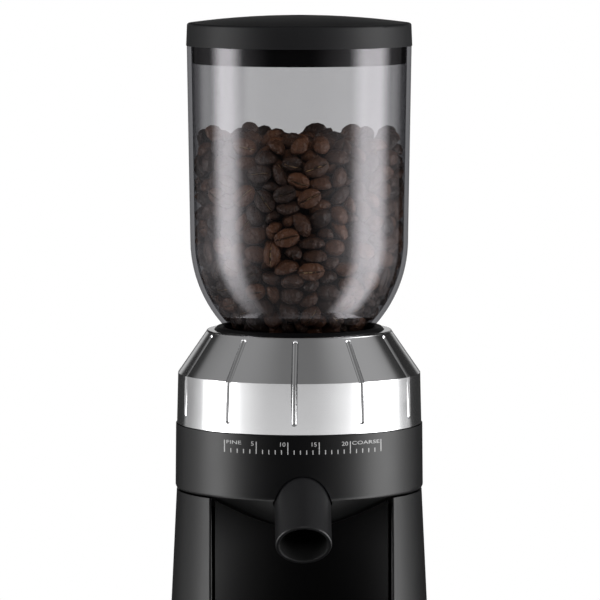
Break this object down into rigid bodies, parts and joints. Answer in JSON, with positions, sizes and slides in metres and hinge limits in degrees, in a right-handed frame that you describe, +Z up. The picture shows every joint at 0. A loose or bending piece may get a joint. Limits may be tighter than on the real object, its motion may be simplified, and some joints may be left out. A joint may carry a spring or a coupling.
{
  "type": "burr coffee grinder",
  "caption": "Upright burr coffee grinder: clear bean hopper, chrome grind collar turning over a printed scale, angled spout, portafilter fork and lift-out tray.",
  "frame": {"origin": "on the table, under the middle of the part's bounding box", "axes": "+X right, -Y front (spout side), +Z up; the burr axis stands 23.5 mm behind the origin"},
  "size_m": [0.137, 0.189, 0.3838],
  "materials": {
    "black_satin": "satin black",
    "black_panel": "fine matt black",
    "black_gloss": "glossy black",
    "clear_smoke": "clear, slightly smoked plastic",
    "chrome_plate": "bright chrome plate",
    "inner_plastic": "plain moulded",
    "steel": "machined steel",
    "cast_metal": "die-cast",
    "gear_nylon": "moulded nylon",
    "gear_brass": "cut brass",
    "plate_steel": "black painted steel",
    "black_rubber": "soft black rubber",
    "cradle_metal": "black anodised",
    "tray_steel": "brushed",
    "board_green": "circuit board"
  },
  "bodies": {
    "body": {"base_shell": "black_satin", "base_plate": "plate_steel", "rubber_feet": "black_rubber", "base_screws": "steel", "column_shell": "black_satin", "column_screws": "steel", "front_panel": "black_panel", "upper_housing": "black_satin", "deck_screws": "steel", "grind_chamber": "cast_metal", "chamber_posts": "steel", "spout": "black_gloss", "gearbox_plate": "cast_metal", "gearbox_cover": "inner_plastic", "gearbox_screws": "steel", "shaft_bearings": "steel", "layshaft_bushes": "gear_brass", "motor_can": "steel", "motor_cap": "inner_plastic", "motor_magnets": "steel", "motor_screws": "steel", "portafilter_cradle": "cradle_metal", "cradle_screws": "steel", "start_switch": "inner_plastic", "switch_body": "inner_plastic", "control_board": "board_green", "board_parts": "inner_plastic", "cord_gland": "black_rubber"},
    "collar": {"collar_shell": "chrome_plate", "collar_core": "black_satin", "throat_seal": "black_rubber"},
    "carrier": {"burr_carrier": "inner_plastic", "ring_burr": "steel", "ring_burr_screws": "steel"},
    "hopper": {"hopper": "clear_smoke", "finger_guard": "inner_plastic"},
    "lid": {"lid_cap": "black_satin", "lid_plug": "black_gloss"},
    "spindle": {"main_shaft": "steel", "cone_burr": "steel", "burr_nut": "steel", "sweeper": "inner_plastic", "main_gear": "gear_nylon"},
    "layshaft": {"layshaft": "steel", "lay_gear": "gear_nylon", "lay_pinion": "gear_brass"},
    "rotor": {"motor_shaft": "steel", "motor_pinion": "gear_brass", "armature": "steel"},
    "button": {"start_button": "black_gloss"},
    "rocker": {"power_rocker": "black_gloss"},
    "tray": {"grounds_tray": "tray_steel"}
  },
  "joints": [
    {"name": "collar_turn", "type": "hinge", "parent": "body", "child": "collar", "pos_m": [0, 0.0235, 0.2], "axis": [0, 0, 1], "range_deg": [-35, 43.6]},
    {"name": "carrier_climb", "type": "slide", "parent": "collar", "child": "carrier", "axis": [0, 0, 1], "range_m": [-0.0006, 0.00075]},
    {"name": "hopper_lift", "type": "slide", "parent": "collar", "child": "hopper", "axis": [0, 0, 1], "range_m": [0, 0.06]},
    {"name": "lid_lift", "type": "slide", "parent": "hopper", "child": "lid", "axis": [0, 0, 1], "range_m": [0, 0.05]},
    {"name": "burr_spin", "type": "hinge", "parent": "body", "child": "spindle", "pos_m": [0, 0.0235, 0.15], "axis": [0, 0, 1], "continuous": true},
    {"name": "layshaft_spin", "type": "hinge", "parent": "body", "child": "layshaft", "pos_m": [0.01814, 0.04041, 0.115], "axis": [0, 0, 1], "continuous": true},
    {"name": "motor_spin", "type": "hinge", "parent": "body", "child": "rotor", "pos_m": [0, 0.04797, 0.08], "axis": [0, 0, 1], "continuous": true},
    {"name": "start_press", "type": "slide", "parent": "body", "child": "button", "axis": [0, 1, 0], "range_m": [0, 0.003], "stiffness_N_per_m": 600, "springref_m": -0.002},
    {"name": "rocker_tilt", "type": "hinge", "parent": "body", "child": "rocker", "pos_m": [0.06365, 0.0235, 0.0599], "axis": [0, 1, 0], "range_deg": [-18, 0]},
    {"name": "tray_lift", "type": "slide", "parent": "body", "child": "tray", "axis": [0, 0, 1], "range_m": [0, 0.03]}
  ],
  "couplings": [
    {"joint": "carrier_climb", "follows": "collar_turn", "m_per_rad": 0.00095493},
    {"joint": "layshaft_spin", "follows": "burr_spin", "ratio": -3.2308},
    {"joint": "motor_spin", "follows": "burr_spin", "ratio": 11.846}
  ]
}
